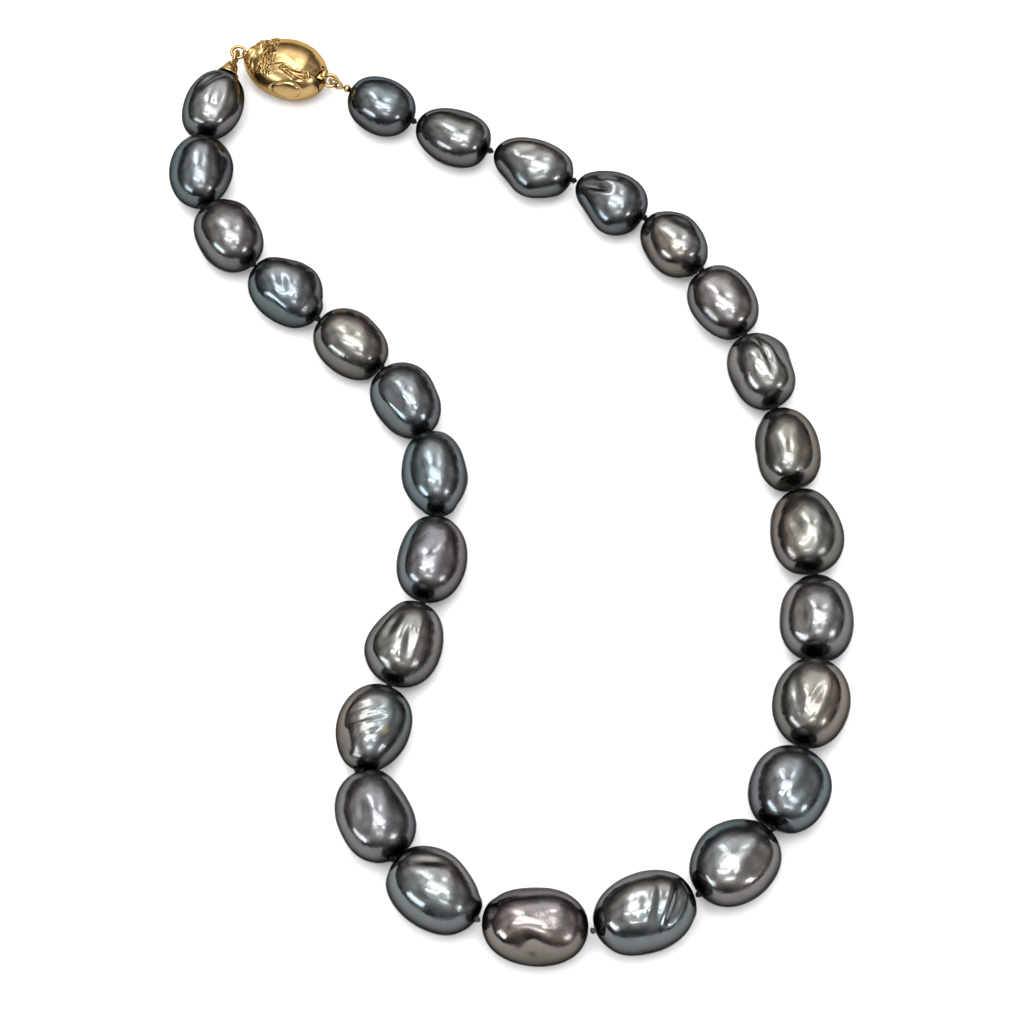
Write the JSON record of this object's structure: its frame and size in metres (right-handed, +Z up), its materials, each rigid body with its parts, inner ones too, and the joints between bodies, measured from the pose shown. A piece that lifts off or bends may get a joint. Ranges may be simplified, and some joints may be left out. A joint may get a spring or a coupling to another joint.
{
  "type": "pearl necklace",
  "caption": "Graduated strand of dark baroque pearls knotted on silk, with a gold oval box clasp, laid flat in an open loop.",
  "frame": {"origin": "centre of the bounding box, on the surface that the strand lies on", "axes": "+Z up from the surface, +Y along the laid strand from its front curve towards the clasp, +X towards the strand's fuller side"},
  "size_m": [0.123, 0.1876, 0.0135],
  "materials": {
    "nacre_slate": "polished dark nacre, slate overtone, mirror-like lustre",
    "nacre_mauve": "polished dark nacre, mauve overtone, mirror-like lustre",
    "nacre_teal": "polished dark nacre, teal overtone, mirror-like lustre",
    "nacre_taupe": "polished dark nacre, taupe overtone, mirror-like lustre",
    "nacre_silver": "polished dark nacre, silver overtone, mirror-like lustre",
    "silk": "twisted dark silk thread, matt",
    "gold": "polished 18 ct yellow gold"
  },
  "bodies": {
    "clasp": {"clasp_shell": "gold"},
    "tongue": {"clasp_tongue": "gold"},
    "spring": {"tongue_spring": "gold"},
    "turn_01": {"gimp_loop": "gold", "end_bead": "gold", "pearl_01": "nacre_slate", "silk_01": "silk"},
    "cap": {"bead_cap": "gold"},
    "turn_02": {"pearl_02": "nacre_slate", "silk_02": "silk"},
    "turn_03": {"pearl_03": "nacre_mauve", "silk_03": "silk"},
    "turn_04": {"pearl_04": "nacre_teal", "silk_04": "silk"},
    "turn_05": {"pearl_05": "nacre_mauve", "silk_05": "silk"},
    "turn_06": {"pearl_06": "nacre_taupe", "silk_06": "silk"},
    "turn_07": {"pearl_07": "nacre_silver", "silk_07": "silk"},
    "turn_08": {"pearl_08": "nacre_taupe", "silk_08": "silk"},
    "turn_09": {"pearl_09": "nacre_taupe", "silk_09": "silk"},
    "turn_10": {"pearl_10": "nacre_silver", "silk_10": "silk"},
    "turn_11": {"pearl_11": "nacre_taupe", "silk_11": "silk"},
    "turn_12": {"pearl_12": "nacre_slate", "silk_12": "silk"},
    "turn_13": {"pearl_13": "nacre_silver", "silk_13": "silk"},
    "turn_14": {"pearl_14": "nacre_taupe", "silk_14": "silk"},
    "turn_27": {"pearl_27": "nacre_mauve", "silk_27": "silk"},
    "turn_26": {"pearl_26": "nacre_teal", "silk_26": "silk"},
    "turn_25": {"pearl_25": "nacre_slate", "silk_25": "silk"},
    "turn_24": {"pearl_24": "nacre_teal", "silk_24": "silk"},
    "turn_23": {"pearl_23": "nacre_taupe", "silk_23": "silk"},
    "turn_22": {"pearl_22": "nacre_teal", "silk_22": "silk"},
    "turn_21": {"pearl_21": "nacre_teal", "silk_21": "silk"},
    "turn_20": {"pearl_20": "nacre_teal", "silk_20": "silk"},
    "turn_19": {"pearl_19": "nacre_silver", "silk_19": "silk"},
    "turn_18": {"pearl_18": "nacre_silver", "silk_18": "silk"},
    "turn_17": {"pearl_17": "nacre_slate", "silk_17": "silk"},
    "turn_16": {"pearl_16": "nacre_silver", "silk_16": "silk"},
    "turn_15": {"pearl_15": "nacre_taupe", "silk_15": "silk"}
  },
  "joints": [
    {"name": "tongue_slide", "type": "slide", "parent": "clasp", "child": "tongue", "axis": [0.9326, -0.361, 0], "range_m": [0, 0.012]},
    {"name": "spring_press", "type": "hinge", "parent": "tongue", "child": "spring", "pos_m": [-0.04367, 0.08925, 0.00515], "axis": [0.361, 0.9326, 0], "range_deg": [0, 2.5], "stiffness_Nm_per_rad": 0.02},
    {"name": "gimp_swing", "type": "hinge", "parent": "tongue", "child": "turn_01", "pos_m": [-0.03138, 0.08449, 0.0053], "axis": [0, 0, 1], "range_deg": [0, 45]},
    {"name": "cap_swing", "type": "hinge", "parent": "clasp", "child": "cap", "pos_m": [-0.04888, 0.09127, 0.0053], "axis": [0, 0, -1], "range_deg": [0, 70]},
    {"name": "knot_27", "type": "hinge", "parent": "cap", "child": "turn_27", "pos_m": [-0.05085, 0.08592, 0.00556], "axis": [0, 0, -1], "range_deg": [0, 7]},
    {"name": "knot_02", "type": "hinge", "parent": "turn_01", "child": "turn_02", "pos_m": [-0.01499, 0.07466, 0.00543], "axis": [0, 0, 1], "range_deg": [0, 10]},
    {"name": "knot_03", "type": "hinge", "parent": "turn_02", "child": "turn_03", "pos_m": [-0.00069, 0.06793, 0.00531], "axis": [0, 0, 1], "range_deg": [0, 10]},
    {"name": "knot_04", "type": "hinge", "parent": "turn_03", "child": "turn_04", "pos_m": [0.01475, 0.06103, 0.00556], "axis": [0, 0, 1], "range_deg": [0, 20]},
    {"name": "knot_05", "type": "hinge", "parent": "turn_04", "child": "turn_05", "pos_m": [0.02756, 0.05236, 0.00565], "axis": [0, 0, 1], "range_deg": [0, 25]},
    {"name": "knot_06", "type": "hinge", "parent": "turn_05", "child": "turn_06", "pos_m": [0.03748, 0.04087, 0.00588], "axis": [0, 0, 1], "range_deg": [0, 24]},
    {"name": "knot_07", "type": "hinge", "parent": "turn_06", "child": "turn_07", "pos_m": [0.04471, 0.02681, 0.00596], "axis": [0, 0, 1], "range_deg": [0, 20]},
    {"name": "knot_08", "type": "hinge", "parent": "turn_07", "child": "turn_08", "pos_m": [0.04952, 0.01153, 0.00605], "axis": [0, 0, 1], "range_deg": [0, 17]},
    {"name": "knot_09", "type": "hinge", "parent": "turn_08", "child": "turn_09", "pos_m": [0.0527, -0.005, 0.00635], "axis": [0, 0, 1], "range_deg": [0, 14]},
    {"name": "knot_10", "type": "hinge", "parent": "turn_09", "child": "turn_10", "pos_m": [0.05482, -0.02228, 0.00652], "axis": [0, 0, 1], "range_deg": [0, 19]},
    {"name": "knot_11", "type": "hinge", "parent": "turn_10", "child": "turn_11", "pos_m": [0.05436, -0.03929, 0.00654], "axis": [0, 0, 1], "range_deg": [0, 18]},
    {"name": "knot_12", "type": "hinge", "parent": "turn_11", "child": "turn_12", "pos_m": [0.05138, -0.05589, 0.00668], "axis": [0, 0, 1], "range_deg": [0, 24]},
    {"name": "knot_13", "type": "hinge", "parent": "turn_12", "child": "turn_13", "pos_m": [0.04469, -0.07084, 0.00675], "axis": [0, 0, 1], "range_deg": [0, 35]},
    {"name": "knot_14", "type": "hinge", "parent": "turn_13", "child": "turn_14", "pos_m": [0.0313, -0.08247, 0.00675], "axis": [0, 0, 1], "range_deg": [0, 33]},
    {"name": "knot_26", "type": "hinge", "parent": "turn_27", "child": "turn_26", "pos_m": [-0.05589, 0.07167, 0.00578], "axis": [0, 0, -1], "range_deg": [0, 33]},
    {"name": "knot_25", "type": "hinge", "parent": "turn_26", "child": "turn_25", "pos_m": [-0.05482, 0.05622, 0.00575], "axis": [0, 0, -1], "range_deg": [0, 46]},
    {"name": "knot_24", "type": "hinge", "parent": "turn_25", "child": "turn_24", "pos_m": [-0.04489, 0.04383, 0.00565], "axis": [0, 0, -1], "range_deg": [0, 17]},
    {"name": "knot_23", "type": "hinge", "parent": "turn_24", "child": "turn_23", "pos_m": [-0.03291, 0.03215, 0.00573], "axis": [0, 0, -1], "range_deg": [0, 12]},
    {"name": "knot_22", "type": "hinge", "parent": "turn_23", "child": "turn_22", "pos_m": [-0.02117, 0.0214, 0.00592], "axis": [0, 0, -1], "range_deg": [0, 10]},
    {"name": "knot_21", "type": "hinge", "parent": "turn_22", "child": "turn_21", "pos_m": [-0.01326, 0.00754, 0.00593], "axis": [0, 0, -1], "range_deg": [0, 10]},
    {"name": "knot_20", "type": "hinge", "parent": "turn_21", "child": "turn_20", "pos_m": [-0.01141, -0.00919, 0.00616], "axis": [0, 0, -1], "range_deg": [0, 10]},
    {"name": "knot_19", "type": "hinge", "parent": "turn_20", "child": "turn_19", "pos_m": [-0.01481, -0.02622, 0.00623], "axis": [0, 0, -1], "range_deg": [0, 10]},
    {"name": "knot_18", "type": "hinge", "parent": "turn_19", "child": "turn_18", "pos_m": [-0.02084, -0.04227, 0.00641], "axis": [0, 0, -1], "range_deg": [0, 12]},
    {"name": "knot_17", "type": "hinge", "parent": "turn_18", "child": "turn_17", "pos_m": [-0.02614, -0.05857, 0.00658], "axis": [0, 0, -1], "range_deg": [0, 49]},
    {"name": "knot_16", "type": "hinge", "parent": "turn_17", "child": "turn_16", "pos_m": [-0.0198, -0.07516, 0.00674], "axis": [0, 0, -1], "range_deg": [0, 42]},
    {"name": "knot_15", "type": "hinge", "parent": "turn_16", "child": "turn_15", "pos_m": [-0.00505, -0.08616, 0.00672], "axis": [0, 0, -1], "range_deg": [0, 41]}
  ]
}
